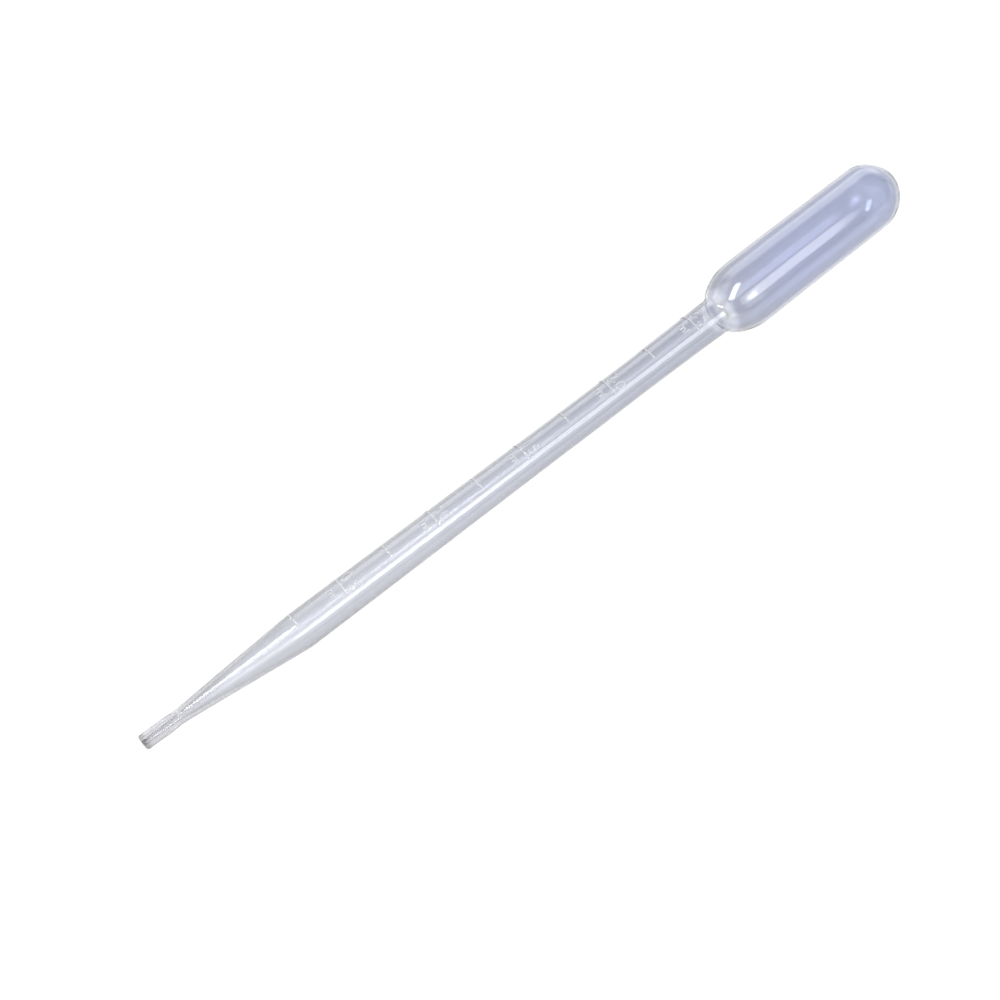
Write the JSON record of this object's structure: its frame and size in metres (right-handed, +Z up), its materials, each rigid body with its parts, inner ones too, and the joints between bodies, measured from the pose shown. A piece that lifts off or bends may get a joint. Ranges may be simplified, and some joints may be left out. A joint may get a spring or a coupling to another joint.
{
  "type": "plastic dropper pipette",
  "caption": "Soft translucent squeeze pipette: a thin nozzle, a tapered and graduated stem and a rounded bulb, blown as one hollow piece.",
  "frame": {"origin": "middle of the footprint, on the surface that the pipette lies on", "axes": "+X along the pipette from the nozzle towards the bulb, +Z up. It lies on its side, on the shoulder of its stem and on its bulb, so its axis rises by 1.7 degrees towards the bulb"},
  "size_m": [0.1592, 0.012, 0.0129],
  "materials": {
    "clear_polyethylene": "thin natural low-density polyethylene, translucent with a pale lavender-blue cast, soft satin gloss, nearly clear in the stem and a little milkier in the bulb"
  },
  "bodies": {
    "root": {"pipette": "clear_polyethylene"}
  },
  "joints": []
}
